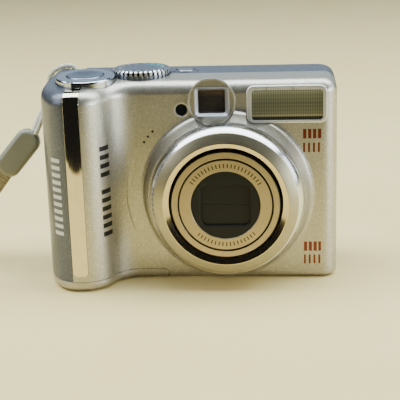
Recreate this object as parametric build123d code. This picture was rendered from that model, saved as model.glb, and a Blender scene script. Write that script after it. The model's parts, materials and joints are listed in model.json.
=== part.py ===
"""Compact digital camera: two-cell pocket camera with a collapsing zoom lens.

Millimetres, +Z up, front of the camera towards -Y, origin under the middle of
the body. Every function makes one sub-part, and each is written as one STEP.
"""

import os
from math import atan, atan2, cos, degrees, pi, radians, sin, sqrt, tan

from build123d import *

# ---------------------------------------------------------------- main sizes
WIDTH = 91.2
HEIGHT = 64.0
GRIP_Y = -21.4            # front of the grip
PANEL_Y = -8.5            # front of the flat panel
BACK_Y = 20.0             # back of the case
REAR_MAX_Y = 21.55        # rim of the eyepiece, the rearmost surface
LENS_FACE_Y = -21.55      # front face of the lens ring
SEAM_Y = 2.5              # parting plane between the two shells
WALL = 1.8
SKIN = 1.0                # thickness of the trim let into the front shell
GAP = 0.15                # visible seam between neighbouring outside pieces

# ---------------------------------------------------------------- body outline
HALF = WIDTH / 2
GRIP_ROUND = 8.5          # plan radius of the grip's outer corner
GRIP_SIDE_ROUND = 24.0    # plan radius of the flank that leads into it
GRIP_SIDE_TURN = 35.0     # degrees that the flank turns
SWEEP_FROM_X = -34.0      # where the grip starts to fall back to the panel
SWEEP_TO_X = -15.0
FRONT_ROUND = 5.0         # plan radius of the front right-hand corner
REAR_ROUND = 5.5
TOP_ROUND = 4.2
BOTTOM_ROUND = 2.2
TOP_SLOPE = 4.0           # degrees that the top falls towards the front

# ---------------------------------------------------------------- lens
LENS_X = 11.5
LENS_Z = 27.9
RING_BASE_Y = -14.6
RING_BASE_R = 24.1
FUNNEL_R = 18.4
LENS_BORE_R = 17.1
BARREL1_R = 16.65
BARREL1_BORE_R = 14.45
BARREL2_R = 14.2
BARREL2_BORE_R = 13.6
MASK_R = 10.5
WINDOW_W = 15.0
WINDOW_H = 12.8
BARREL1_FRONT = -21.2
BARREL2_FRONT = -21.35
CAM_BORE_R = 16.95
CAM_R = 18.9
HOUSING_BORE_R = 19.3
HOUSING_R = 20.5
CAM_FRONT = -18.4
GEAR_FRONT = -2.0         # toothed flange of the cam ring
GEAR_BACK = 1.6
BASE_FRONT = 2.6          # plate that closes the lens unit
BASE_BACK = 4.6

# ---------------------------------------------------------------- zoom gears
MODULE = 0.5
CAM_TEETH = 78
IDLER_SMALL = 14
IDLER_BIG = 30
PINION_TEETH = 12
IDLER_ANGLE = 139.0       # where the idler sits round the lens, in degrees
PINION_ANGLE = 108.0      # where the motor sits round the idler
BACKLASH = 0.12
FOCUS_X = 0.6             # lead screw that moves the focus cell
FOCUS_Z = 27.9

# ---------------------------------------------------------------- top controls
RING_X = -31.5
RING_Y = -5.6
RING_R = 9.15
RING_H = 1.9
SHUTTER_R = 5.65
DIAL_X = -15.2
DIAL_Y = 3.6
DIAL_R = 9.15
DIAL_TOP = 66.0
DIAL_SCALLOPS = 36
POWER_X = -1.6
POWER_Y = 8.0
POWER_R = 2.65

# ---------------------------------------------------------------- front windows
FINDER_X = 7.3
FINDER_Z = 57.1
FINDER_POCKET_R = 7.3
LAMP_X = -2.0
LAMP_Z = 54.6
FLASH_X = 30.2
FLASH_Z = 56.0
FLASH_W = 24.5
FLASH_H = 11.7
FLASH_CORNER = 2.3
MIC_HOLES = [(-11.1, 48.0), (-12.6, 46.4), (-13.9, 44.7)]

# ---------------------------------------------------------------- battery bay
CELL_R = 7.25
CELL_LEN = 50.5
CELL_X = -34.1
CELL_Y = (-10.3, 4.9)
CELL_Z = 5.4
DOOR_TOP = 3.2
KNUCKLE_R = DOOR_TOP / 2       # the door's rounded end, centred on its hinge
HINGE_X = -7.6 - KNUCKLE_R
HINGE_Z = KNUCKLE_R
PIN_R = 0.5
PIN_Y = (-7.0, 17.9)
LUG_R = 1.35                   # lugs of the shells that hold the pin
LUGS = {"front_shell": (-3.5, -1.5), "rear_shell": (14.2, 16.2)}
SPRING_TURNS = 4
SPRING_PITCH = 0.65
CARD = (2.1, 24.0, 32.0)
CARD_X = -22.0
CARD_Y = 5.75

# ---------------------------------------------------------------- back of the case
LCD_X = 14.0
LCD_Z = 29.5
LCD_W = 54.0
LCD_H = 42.0
PAD_X = -33.0
PAD_Z = 33.0
PAD_R = 7.6
SET_R = 3.5
EYE_W = 15.0
EYE_H = 9.6
BUTTONS = {
    "print_button": (-17.9, 52.0, 2.3),
    "erase_button": (-17.9, 43.5, 2.3),
    "display_button": (-38.2, 17.5, 2.5),
    "menu_button": (-28.2, 17.5, 2.5),
}
SPEAKER_X = 36.0
SPEAKER_Z = 55.4
LED_X = -2.0
LED_Z = (56.4, 53.6)
SWITCH_X = -29.0
SWITCH_Z = 51.0

# ---------------------------------------------------------------- side flap and eyelet
FLAP_Y = (4.4, 14.0)
FLAP_Z = (12.0, 37.0)
FLAP_T = 1.3
PORTS = {
    "usb_port": (9.6, 12.8, 28.5, 36.0),
    "video_port": (9.6, 12.8, 13.0, 20.5),
}
DC_Y = 7.4
DC_Z = 24.5
DC_R = 2.5
EYE_BAR_Y = 17.2
EYE_BAR_Z = 61.0
EYE_BAR_R = 0.9
NOTCH_X = (-40.4, -34.6)
TRIPOD_R = 3.175
TRIPOD_X = 11.5
TRIPOD_Y = 12.2

# ---------------------------------------------------------------- wrist strap
CORD_R = 0.8
BAND_R = 1.7
CORD_ROUTE = [
    (-51.9, 10.3, 43.2),
    (-49.6, 12.0, 53.6),
    (-48.4, 13.5, 60.6),
    (-45.9, 14.2, 65.2),
    (-42.0, 14.6, 67.3),
    (-38.7, 14.6, 65.8),
    (-37.4, 14.5, 61.8),
    (-37.3, 16.9, 58.1),
    (-38.0, 20.6, 59.6),
    (-42.6, 23.2, 58.6),
    (-47.6, 20.4, 55.0),
    (-51.4, 14.8, 51.0),
    (-53.5, 12.0, 42.6),
]
BAND_ROUTE = [
    (-63.0, 9.4, 31.3),
    (-69.2, 8.0, 23.8),
    (-77.2, 5.0, 13.8),
    (-88.0, -1.0, 5.2),
    (-101.5, -9.2, 1.7),
    (-119.0, -15.6, 1.7),
    (-137.0, -15.2, 1.7),
    (-150.0, -6.0, 1.7),
    (-152.8, 9.5, 1.7),
    (-144.5, 22.8, 1.7),
    (-129.0, 28.4, 1.7),
    (-112.0, 26.8, 1.7),
    (-97.5, 21.8, 2.2),
    (-85.5, 18.6, 6.5),
    (-75.8, 16.3, 14.7),
    (-69.0, 14.2, 23.8),
    (-63.2, 13.0, 31.3),
]
STRAP_JOINT_TOP = (-52.7, 11.2, 43.5)
STRAP_JOINT_END = (-63.8, 11.2, 30.4)
STRAP_JOINT_WIDTH = 8.4


# ================================================================ small helpers
def block(x0, x1, y0, y1, z0, z1):
    """Box given by its limits."""
    centre = Pos((x0 + x1) / 2, (y0 + y1) / 2, (z0 + z1) / 2)
    return centre * Box(x1 - x0, y1 - y0, z1 - z0)


def rod_y(x, z, radius, y0, y1):
    """Round bar along Y."""
    return Pos(x, (y0 + y1) / 2, z) * Rot(90, 0, 0) * Cylinder(radius, y1 - y0)


def rod_x(y, z, radius, x0, x1):
    """Round bar along X."""
    return Pos((x0 + x1) / 2, y, z) * Rot(0, 90, 0) * Cylinder(radius, x1 - x0)


def rod_z(x, y, radius, z0, z1):
    """Round bar along Z."""
    return Pos(x, y, (z0 + z1) / 2) * Cylinder(radius, z1 - z0)


def tube_y(x, z, outer, inner, y0, y1):
    """Hollow round bar along Y."""
    return rod_y(x, z, outer, y0, y1) - rod_y(x, z, inner, y0 - 1, y1 + 1)


def along_y(sketch, y0, y1):
    """Extrude a sketch drawn in X and Z between two depths."""
    plane = Plane(origin=(0, y1, 0), x_dir=(1, 0, 0), z_dir=(0, -1, 0))
    return extrude(plane * sketch, amount=y1 - y0)


def slab_y(x, z, width, height, radius, y0, y1):
    """Rounded rectangular plate facing the front."""
    return along_y(Pos(x, z) * RectangleRounded(width, height, radius), y0, y1)


def turned_y(points, x=LENS_X, z=LENS_Z):
    """Turn a closed (radius, y) outline about an axis along Y."""
    outline = Plane.XY * make_face(Polyline(*points, close=True))
    return Pos(x, 0, z) * revolve(outline, Axis.Y)


# ================================================================ body blocks
def front_outline(inset, back_y):
    """Plan of the front half, moved inwards by inset: grip, sweep and panel."""
    depth = PANEL_Y - GRIP_Y
    run = SWEEP_TO_X - SWEEP_FROM_X
    sweep = 2 * atan2(depth, run)
    bend = run / (2 * sin(sweep))
    angle = degrees(sweep)
    left = -HALF + inset
    right = HALF - inset
    turn = radians(GRIP_SIDE_TURN)
    apart = GRIP_SIDE_ROUND - GRIP_ROUND
    flank = Vector(-HALF + GRIP_SIDE_ROUND, GRIP_Y + GRIP_ROUND + apart * sin(turn))
    corner = Vector(flank.X - apart * cos(turn), GRIP_Y + GRIP_ROUND)
    outer = Vector(SWEEP_FROM_X, GRIP_Y + bend)
    inner = Vector(SWEEP_TO_X, PANEL_Y - bend)
    end = Vector(HALF - FRONT_ROUND, PANEL_Y + FRONT_ROUND)
    flank_arc = CenterArc(flank, GRIP_SIDE_ROUND - inset, 180, GRIP_SIDE_TURN)
    grip_arc = CenterArc(corner, GRIP_ROUND - inset, 180 + GRIP_SIDE_TURN, 90 - GRIP_SIDE_TURN)
    out_arc = CenterArc(outer, bend - inset, 270, angle)
    in_arc = CenterArc(inner, bend + inset, 90 + angle, -angle)
    end_arc = CenterArc(end, FRONT_ROUND - inset, 270, 90)
    lines = [
        Line((left, back_y), flank_arc @ 0),
        flank_arc,
        grip_arc,
        Line(grip_arc @ 1, out_arc @ 0),
        out_arc,
        in_arc,
        Line(in_arc @ 1, end_arc @ 0),
        end_arc,
        Line(end_arc @ 1, (right, back_y)),
        Line((right, back_y), (left, back_y)),
    ]
    return make_face(Curve() + lines)


def rear_outline(inset, front_y):
    """Plan of the rear half, moved inwards by inset."""
    back = BACK_Y - inset
    side = HALF - inset
    radius = REAR_ROUND - inset
    right_arc = CenterArc((side - radius, back - radius), radius, 0, 90)
    left_arc = CenterArc((-side + radius, back - radius), radius, 90, 90)
    lines = [
        Line((side, front_y), right_arc @ 0),
        right_arc,
        Line(right_arc @ 1, left_arc @ 0),
        left_arc,
        Line(left_arc @ 1, (-side, front_y)),
        Line((-side, front_y), (side, front_y)),
    ]
    return make_face(Curve() + lines)


def rounded_rims(solid, seam_y, top_radius, bottom_radius):
    """Round the top and bottom rims, but not the edges on the parting plane."""
    low, high = solid.bounding_box().min.Z, solid.bounding_box().max.Z
    free = [e for e in solid.edges() if abs(e.center().Y - seam_y) > 0.01]
    flat = [e for e in free if abs(e.tangent_at(0.5).Z) < 0.2]
    top = [e for e in flat if e.center().Z > (low + high) / 2]
    bottom = [e for e in flat if e.center().Z < (low + high) / 2]
    solid = fillet(top, top_radius)
    bottom = [e for e in solid.edges() if e.center().Z < low + 0.01]
    bottom = [e for e in bottom if abs(e.center().Y - seam_y) > 0.01]
    return fillet(bottom, bottom_radius)


def front_block(inset, overrun=0.0):
    """Solid front half of the case, with its sloping top."""
    seam = SEAM_Y + overrun
    tall = extrude(Pos(0, 0, inset) * front_outline(inset, seam), amount=HEIGHT + 2)
    front = GRIP_Y - 10
    top = HEIGHT - inset
    drop = (SEAM_Y - front) * tan(radians(TOP_SLOPE))
    rise = overrun * tan(radians(TOP_SLOPE))
    wedge = Polyline((front, top - drop), (seam, top + rise), (seam, 90), (front, 90), close=True)
    cutter = extrude(Plane.YZ * make_face(wedge), amount=WIDTH, both=True)
    return rounded_rims(tall - cutter, seam, TOP_ROUND - inset, BOTTOM_ROUND - inset)


def rear_block(inset, overrun=0.0):
    """Solid rear half of the case."""
    seam = SEAM_Y - overrun
    height = HEIGHT - 2 * inset
    tall = extrude(Pos(0, 0, inset) * rear_outline(inset, seam), amount=height)
    return rounded_rims(tall, seam, TOP_ROUND - inset, BOTTOM_ROUND - inset)


# ================================================================ shared cutters
def top_frame():
    """Place on the sloping top, under the zoom ring."""
    height = HEIGHT - (SEAM_Y - RING_Y) * tan(radians(TOP_SLOPE))
    return Pos(RING_X, RING_Y, height) * Rot(TOP_SLOPE, 0, 0)


def disc(radius, z0, z1):
    """Round plate on the Z axis of a local frame."""
    return Pos(0, 0, (z0 + z1) / 2) * Cylinder(radius, z1 - z0)


def door_region(gap):
    """Space of the battery door, grown by a gap; its end is round about the hinge."""
    radius = KNUCKLE_R + gap
    left, low = -60.0, -6.0
    top = HINGE_Z + radius
    profile = Pos(HINGE_X, HINGE_Z) * Circle(radius)
    profile += Pos((left + HINGE_X) / 2, (low + top) / 2) * Rectangle(HINGE_X - left, top - low)
    if gap:
        corner = Pos(HINGE_X + radius / 2, (low + HINGE_Z) / 2)
        profile += corner * Rectangle(radius, HINGE_Z - low)
    return along_y(profile, -30, 30)


def hinge_lug(name):
    """Ear of a shell that reaches round the door's pin."""
    y0, y1 = LUGS[name]
    ear = rod_y(HINGE_X, HINGE_Z, LUG_R, y0, y1)
    ear += block(HINGE_X, HINGE_X + 4.0, y0, y1, HINGE_Z - LUG_R, HINGE_Z + LUG_R)
    return ear - rod_y(HINGE_X, HINGE_Z, PIN_R, y0 - 1, y1 + 1)


def top_cutters():
    """Seats that the top controls need in both shells."""
    frame = top_frame()
    ring_seat = frame * disc(RING_R + 0.2, -0.5, 6)
    ring_hole = frame * disc(6.65, -6, 1)
    dial_seat = rod_z(DIAL_X, DIAL_Y, DIAL_R + 0.2, 63.0, 70)
    dial_hole = rod_z(DIAL_X, DIAL_Y, 2.1, 58, 64)
    return [ring_seat, ring_hole, dial_seat, dial_hole]


def strip_region(gap):
    """Space of the bright strip on the grip."""
    x0, x1 = -36.1 - gap, -31.4 + gap
    body = slab_y((x0 + x1) / 2, 40.0, x1 - x0, 69.6 + 2 * gap, 1.2, -30, -14.4 + gap)
    return body


def panel_region(gap):
    """Space of the side panel left of the strip."""
    return block(-60, -36.1 - GAP + gap, -30, SEAM_Y + 1, DOOR_TOP + GAP - gap, 80)


def skin_layer(proud=0.0):
    """Outer layer of the front half, as thick as the trim."""
    return front_block(-proud) - front_block(SKIN)


# ================================================================ case
def front_shell():
    shell = front_block(0) - front_block(WALL, 1.0)
    trim = skin_layer()
    shell -= trim & strip_region(0.05)
    shell -= trim & panel_region(0.05)
    shell += lens_shoulder()
    shell -= rod_y(LENS_X, LENS_Z, 21.6, -30, 0)
    shell -= finder_bezel_blank(0.05)
    shell -= flash_bezel_blank(0.05)
    shell -= rod_y(LAMP_X, LAMP_Z, 1.8, -12, 0)
    shell -= rod_y(LAMP_X, LAMP_Z, 2.05, -12, PANEL_Y + 0.25)
    for x, z in MIC_HOLES:
        shell -= rod_y(x, z, 0.4, -12, 0)
    shell -= crescent_groove()
    for cutter in top_cutters():
        shell -= cutter
    shell -= door_region(GAP)
    return shell + hinge_lug("front_shell")


def crescent_groove():
    """Shallow crescent pressed into the panel beside the lens."""
    radius = 31.4
    outer = Pos(LENS_X, LENS_Z) * Circle(radius)
    inner = Pos(LENS_X + 1.7, LENS_Z) * Circle(radius)
    return along_y(outer - inner, -12, PANEL_Y - 0.15) & block(-25, -12, -12, 0, 12, 44)


def rear_shell():
    shell = rear_block(0) - rear_block(WALL, 1.0)
    shell += block(-42.2, -32.8, 13.0, 19.0, 56.1, 63.0) & rear_block(0.4)
    x0, x1 = NOTCH_X
    shell -= block(x0, x1, 13.6, 30, 56.9, 70)
    shell += rod_x(EYE_BAR_Y, EYE_BAR_Z, EYE_BAR_R, x0 - 0.5, x1 + 0.5)
    shell += slab_y(LCD_X, LCD_Z, LCD_W, LCD_H, 3.0, 19.0, BACK_Y + 0.7)
    shell -= slab_y(LCD_X, LCD_Z, LCD_W - 3.0, LCD_H - 3.0, 2.0, 18.9, 30)
    shell -= slab_y(LCD_X, LCD_Z, LCD_W - 6.0, LCD_H - 6.0, 1.0, 10, 30)
    shell += slab_y(FINDER_X, FINDER_Z, EYE_W, EYE_H, 4.0, 18.5, REAR_MAX_Y)
    shell -= slab_y(FINDER_X, FINDER_Z, 9.2, 6.4, 1.5, 10, 30)
    for x, z, radius in BUTTONS.values():
        shell -= rod_y(x, z, radius + 0.15, 10, 30)
    shell -= rod_y(PAD_X, PAD_Z, PAD_R + 0.3, 10, 30)
    shell -= slab_y(SWITCH_X, SWITCH_Z, 9.4, 2.6, 1.0, 10, 30)
    for z in LED_Z:
        shell -= rod_y(LED_X, z, 0.75, 10, 30)
    for x, z in speaker_holes():
        shell -= rod_y(x, z, 0.45, 10, 30)
    shell += thumb_rest()
    shell += rod_z(POWER_X, POWER_Y, 4.1, 63.5, 64.2) - rod_z(POWER_X, POWER_Y, 3.4, 63, 65)
    shell -= rod_z(POWER_X, POWER_Y, POWER_R + 0.15, 58, 70)
    shell -= rod_z(TRIPOD_X, TRIPOD_Y, 4.6, -1, 4)
    shell -= block(44.2, 50, FLAP_Y[0] - GAP, FLAP_Y[1], FLAP_Z[0] - GAP, FLAP_Z[1] + GAP)
    shell -= flap_knuckle(GAP)
    shell -= block(44.95, 50, FLAP_Y[1] - 0.1, FLAP_Y[1] + 0.95, FLAP_Z[0] - GAP, FLAP_Z[1] + GAP)
    for name in ("usb_port", "video_port"):
        y0, y1, z0, z1 = PORTS[name]
        shell -= block(40, 50, y0 - 0.2, y1 + 0.2, z0 - 0.2, z1 + 0.2)
    shell -= rod_x(DC_Y, DC_Z, DC_R + 0.1, 40, 50)
    for place in screw_places():
        shell -= place * disc(1.45, -1.0, 1)
        shell -= place * disc(0.8, -4, 1)
    for cutter in top_cutters():
        shell -= cutter
    shell -= door_region(GAP)
    return shell + hinge_lug("rear_shell")


def speaker_holes():
    """Centres of the speaker grille's holes."""
    turns = [radians(60 * i) for i in range(6)]
    ring = [(SPEAKER_X + 2.2 * cos(a), SPEAKER_Z + 2.2 * sin(a)) for a in turns]
    return ring + [(SPEAKER_X, SPEAKER_Z)]


def thumb_rest():
    """Low ribs where the thumb sits."""
    ribs = [slab_y(-41.0 + 2.6 * i, 51.0, 1.2, 7.0, 0.59, 19.0, 20.5) for i in range(2)]
    return ribs[0] + ribs[1]


def grip_side_panel():
    panel = skin_layer() & panel_region(0)
    for cutter in top_cutters()[:2]:
        panel -= cutter
    return panel


def grip_strip():
    strip = skin_layer(0.15) & strip_region(0)
    return strip - top_cutters()[0]


# ================================================================ screws and tripod bush
def screw_places():
    """Where the case screws sit, heads outwards."""
    bottom = [Pos(x, 6.0, 0) * Rot(180, 0, 0) for x in (1.0, 36.0)]
    right = [Pos(HALF, y, z) * Rot(0, 90, 0) for y, z in ((6.4, 50.0), (6.4, 6.6))]
    left = [Pos(-HALF, 13.2, z) * Rot(0, -90, 0) for z in (48.0, 9.0)]
    return bottom + right + left


def case_screws():
    """Cross-head screws that hold the two shells to the chassis."""
    screws = []
    for place in screw_places():
        screw = disc(1.3, -0.9, -0.1) + disc(0.7, -4.6, -0.5)
        screw -= Pos(0, 0, -0.1) * Box(1.7, 0.4, 0.9)
        screw -= Pos(0, 0, -0.1) * Box(0.4, 1.7, 0.9)
        screws.append(place * screw)
    return Compound(children=screws)


def tripod_bush():
    bush = rod_z(TRIPOD_X, TRIPOD_Y, 4.5, 0.05, 7.0) + rod_z(TRIPOD_X, TRIPOD_Y, 5.6, 1.9, 3.0)
    return bush - rod_z(TRIPOD_X, TRIPOD_Y, TRIPOD_R, -1, 5.6)


# ================================================================ battery door
def battery_door():
    """Door in the base, turning on a barrel that ends in the two lugs' slots."""
    blocks = front_block(0) + rear_block(0)
    cavity = front_block(WALL, 0.5) + rear_block(WALL, 0.5)
    inside_y = (PANEL_Y + 1.0, BACK_Y - 1.0)
    barrel = rod_y(HINGE_X, HINGE_Z, KNUCKLE_R, *inside_y)
    door = (blocks - cavity + barrel) & blocks & door_region(0)
    door -= rod_y(HINGE_X, HINGE_Z, PIN_R + 0.05, PIN_Y[0] - 0.1, PIN_Y[1] + 0.1)
    reach = KNUCKLE_R + 0.7
    for y0, y1 in LUGS.values():
        door -= block(HINGE_X - reach, HINGE_X + reach, y0 - 0.2, y1 + 0.2, -1, 6)
    return door - block(-42.6, -35.2, -2.15, 2.15, -1, 1.25)


def battery_door_pin():
    return rod_y(HINGE_X, HINGE_Z, PIN_R, *PIN_Y)


def door_latch():
    latch = block(-42.3, -37.3, -2.0, 2.0, 0.1, 1.1)
    for i in range(3):
        latch -= block(-41.4 + 1.3 * i, -40.9 + 1.3 * i, -1.5, 1.5, 0, 0.3)
    return latch


def door_contacts():
    """Plate that joins the two cells' ends, with a conical spring for each."""
    front, back = CELL_Y
    contacts = block(CELL_X - 4.7, CELL_X + 4.7, front - 4.7, back + 4.7, 1.82, 2.2)
    for y in CELL_Y:
        for turn in range(SPRING_TURNS):
            radius = 3.9 - 0.25 * turn
            z = 2.15 + SPRING_PITCH * turn
            ring = rod_z(CELL_X, y, radius, z, z + 0.4)
            contacts += ring - rod_z(CELL_X, y, radius - 0.6, z - 1, z + 1)
        top = 2.5 + SPRING_PITCH * (SPRING_TURNS - 1)
        contacts += block(CELL_X + 2.6, CELL_X + 3.4, y - 0.3, y + 0.3, 2.0, top)
    return contacts


# ================================================================ cells, card, battery box
def battery_cells():
    return Compound(children=[cell(y) for y in CELL_Y])


def cell(y):
    """One AA cell, its raised end upwards."""
    body = rod_z(CELL_X, y, CELL_R - 0.15, CELL_Z, CELL_Z + CELL_LEN - 1.4)
    tip = rod_z(CELL_X, y, 2.7, CELL_Z + CELL_LEN - 1.5, CELL_Z + CELL_LEN)
    rim = body.edges().filter_by(GeomType.CIRCLE)
    return fillet(rim, 0.6) + tip


def battery_box():
    """Twin sleeve that holds the cells, closed at the top."""
    sleeve = Sketch()
    bores = Sketch()
    for y in CELL_Y:
        sleeve += Pos(CELL_X, y) * Circle(CELL_R + 0.7)
        bores += Pos(CELL_X, y) * Circle(CELL_R + 0.25)
    sleeve += Pos(CELL_X, sum(CELL_Y) / 2) * Rectangle(8, 12)
    top = CELL_Z + CELL_LEN + 1.6
    box = extrude(Pos(0, 0, 5.6) * sleeve, amount=top - 5.6)
    box -= extrude(Pos(0, 0, 5) * bores, amount=top - 1.0 - 5)
    bridge = block(CELL_X + CELL_R, CARD_X - 1.5, 2.0, 8.0, 20.0, 30.0)
    return box + card_slot() + (bridge - extrude(bores, amount=60))


def memory_card():
    thick, wide, tall = CARD
    y0, y1, low = CARD_Y - wide / 2, CARD_Y + wide / 2, 4.6
    card = block(CARD_X - thick / 2, CARD_X + thick / 2, y0, y1, low, low + tall)
    corner = Pos(CARD_X, y1, low + tall) * Rot(45, 0, 0) * Box(10, 5, 5)
    return card - corner


def card_slot():
    """Cage that guides the memory card, moulded with the battery box."""
    thick, wide, tall = CARD
    y0, y1 = CARD_Y - wide / 2 - 0.15, CARD_Y + wide / 2 + 0.15
    cage = block(CARD_X - 1.9, CARD_X + 1.9, y0 - 0.2, y1 + 0.2, 9.0, 38.4)
    return cage - block(CARD_X - 1.3, CARD_X + 1.3, y0, y1, 8, 37.4)


# ================================================================ lens surround
def lens_shoulder():
    """Painted collar between the panel and the lens ring."""
    foot_y = PANEL_Y + 0.02
    outline = [
        (27.2, foot_y), (26.35, PANEL_Y - 0.3), (25.75, PANEL_Y - 1.0), (25.4, PANEL_Y - 2.2),
        (RING_BASE_R, RING_BASE_Y), (RING_BASE_R - 0.5, RING_BASE_Y), (RING_BASE_R - 0.5, -12.6),
        (21.6, -12.6), (21.6, -6.8), (21.95, -6.8), (21.95, foot_y),
    ]
    collar = turned_y(outline)
    collar -= rod_y(FINDER_X, FINDER_Z, FINDER_POCKET_R + GAP, -30, PANEL_Y)
    flash_w, flash_h = FLASH_W + 2 * GAP, FLASH_H + 2 * GAP
    return collar - slab_y(FLASH_X, FLASH_Z, flash_w, flash_h, FLASH_CORNER + GAP, -30, PANEL_Y)


def lens_ring():
    """Bright ring round the lens, with a shallow conical face and a bevelled mouth."""
    back, mouth = -12.65, LENS_FACE_Y
    outer = RING_BASE_R - 0.55
    outline = [
        (outer, back), (outer, RING_BASE_Y - 0.1), (23.75, -16.2), (23.3, -17.7), (22.65, -18.9),
        (21.9, -19.8), (FUNNEL_R, mouth), (LENS_BORE_R, mouth + 1.1), (LENS_BORE_R, -19.2),
        (21.0, -18.6), (21.6, back),
    ]
    return turned_y(outline)


# ================================================================ lens unit
def lens_housing():
    """Fixed tube with a square flange and four legs to the base plate."""
    tube = tube_y(LENS_X, LENS_Z, HOUSING_R, HOUSING_BORE_R, CAM_FRONT, -2.4)
    flange = slab_y(LENS_X, LENS_Z, 45.4, 45.4, 3.0, -3.9, -2.4)
    flange -= rod_y(LENS_X, LENS_Z, HOUSING_BORE_R, -9, 0)
    housing = tube + flange
    for x, z in unit_corners():
        housing += rod_y(x, z, 1.2, -2.5, BASE_FRONT)
    housing -= rod_y(*motor_centre(), 4.3, -9, 0)
    housing -= rod_y(*idler_centre(), 1.05, -9, 0)
    return Compound(children=[housing, lens_base()])


def unit_corners():
    reach = 19.9
    return [(LENS_X + i * reach, LENS_Z + j * reach) for i in (-1, 1) for j in (-1, 1)]


def lens_base():
    """Rear plate of the lens unit, with the motor's ear and the sensor's window."""
    plate = slab_y(LENS_X, LENS_Z, 45.4, 45.4, 3.0, BASE_FRONT, BASE_BACK)
    motor = motor_centre()
    plate += slab_y(motor[0] + 1.0, motor[1] - 1.5, 11.0, 13.0, 2.0, BASE_FRONT, BASE_BACK)
    plate -= slab_y(LENS_X, LENS_Z, 12.2, 10.2, 0.3, 0, 9)
    plate -= rod_y(*idler_centre(), 1.05, 0, 9)
    plate -= rod_y(*motor_centre(), 1.2, 0, 9)
    return plate


def idler_centre():
    reach = MODULE * (CAM_TEETH + IDLER_SMALL) / 2 + 0.05
    angle = radians(IDLER_ANGLE)
    return LENS_X + reach * cos(angle), LENS_Z + reach * sin(angle)


def motor_centre():
    x, z = idler_centre()
    reach = MODULE * (IDLER_BIG + PINION_TEETH) / 2 + 0.05
    angle = radians(PINION_ANGLE)
    return x + reach * cos(angle), z + reach * sin(angle)


def gear_outline(teeth, turn):
    """Involute gear face; turn is the angle of a tooth's middle, in degrees."""
    pitch_r = MODULE * teeth / 2
    base_r = pitch_r * cos(radians(20))
    tip_r = pitch_r + 0.9 * MODULE
    root_r = pitch_r - 1.25 * MODULE
    pressure = tan(radians(20)) - radians(20)
    half_pitch = pi / (2 * teeth) - BACKLASH / (2 * pitch_r)

    def flank_angle(radius):
        if radius <= base_r:
            return half_pitch + pressure
        roll = sqrt((radius / base_r) ** 2 - 1)
        return half_pitch + pressure - (roll - atan(roll))

    start = max(base_r, root_r)
    steps = [start + (tip_r - start) * i / 3 for i in range(4)]
    radii = ([root_r] if root_r < start - 0.01 else []) + steps
    points = []
    for tooth in range(teeth):
        middle = radians(turn) + 2 * pi * tooth / teeth
        rising = [(radius, middle - flank_angle(radius)) for radius in radii]
        falling = [(radius, middle + flank_angle(radius)) for radius in reversed(radii)]
        points += [(radius * cos(angle), radius * sin(angle)) for radius, angle in rising + falling]
    return make_face(Polyline(*points, close=True))


def cam_ring():
    """Rotating cam tube; its toothed flange is driven by the idler."""
    tube = tube_y(LENS_X, LENS_Z, CAM_R, CAM_BORE_R, CAM_FRONT + 0.1, GEAR_FRONT + 0.1)
    face = gear_outline(CAM_TEETH, IDLER_ANGLE) - Circle(CAM_BORE_R)
    ring = tube + along_y(Pos(LENS_X, LENS_Z) * face, GEAR_FRONT, GEAR_BACK)
    for start in (20, 140, 260):
        ring -= cam_slot(start)
    return ring


def cam_slot(start):
    """One helical cam slot, cut as a few short windows."""
    slot = None
    for step in range(7):
        angle = start + 10 * step
        y = -6.0 - 1.5 * step
        cut = Pos(LENS_X, y, LENS_Z) * Rot(0, -angle, 0) * Pos(CAM_R - 1, 0, 0) * Box(6, 1.6, 4.0)
        slot = cut if slot is None else slot + cut
    return slot


def zoom_idler():
    x, z = idler_centre()
    small = gear_outline(IDLER_SMALL, IDLER_ANGLE + 180 + 180 / IDLER_SMALL)
    big = gear_outline(IDLER_BIG, PINION_ANGLE)
    idler = along_y(Pos(x, z) * small, GEAR_FRONT + 0.3, GEAR_BACK - 0.2)
    idler += along_y(Pos(x, z) * big, 5.0, 6.2)
    return idler + rod_y(x, z, 1.0, -3.7, 6.3)


def motor_pinion():
    x, z = motor_centre()
    face = gear_outline(PINION_TEETH, PINION_ANGLE + 180 + 180 / PINION_TEETH)
    return along_y(Pos(x, z) * face, 4.9, 6.3) + rod_y(x, z, 0.6, 2.5, 5.0)


def zoom_motor():
    x, z = motor_centre()
    motor = rod_y(x, z, 4.0, -6.0, BASE_FRONT - 0.02) & block(x - 4, x + 4, -9, 9, z - 3.4, z + 3.4)
    return motor - rod_y(x, z, 0.65, 1.5, 5)


def barrel_1():
    barrel = tube_y(LENS_X, LENS_Z, BARREL1_R, BARREL1_BORE_R, BARREL1_FRONT, -2.5)
    lip = barrel.edges().filter_by(GeomType.CIRCLE).group_by(Axis.Y)[0]
    return fillet(lip, 0.2)


def barrel_2():
    barrel = tube_y(LENS_X, LENS_Z, BARREL2_R, BARREL2_BORE_R, BARREL2_FRONT, -4.0)
    barrel += tube_y(LENS_X, LENS_Z, BARREL2_BORE_R + 0.1, MASK_R + 0.02, BARREL2_FRONT, -20.3)
    barrel += tube_y(LENS_X, LENS_Z, BARREL2_BORE_R + 0.1, 7.6, -19.0, -17.6)
    rims = barrel.edges().filter_by(GeomType.CIRCLE).group_by(Axis.Y)[0]
    return fillet(rims, 0.2)


def barrier_mask():
    """Black disc with the window that the barrier blades close."""
    mask = rod_y(LENS_X, LENS_Z, MASK_R, -21.1, -20.3)
    window = slab_y(LENS_X, LENS_Z, WINDOW_W, WINDOW_H, 2.0, -30, 0)
    mask -= window
    return mask - slab_y(LENS_X, LENS_Z, WINDOW_W + 0.7, WINDOW_H + 0.7, 2.3, -30, -20.85)


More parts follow.
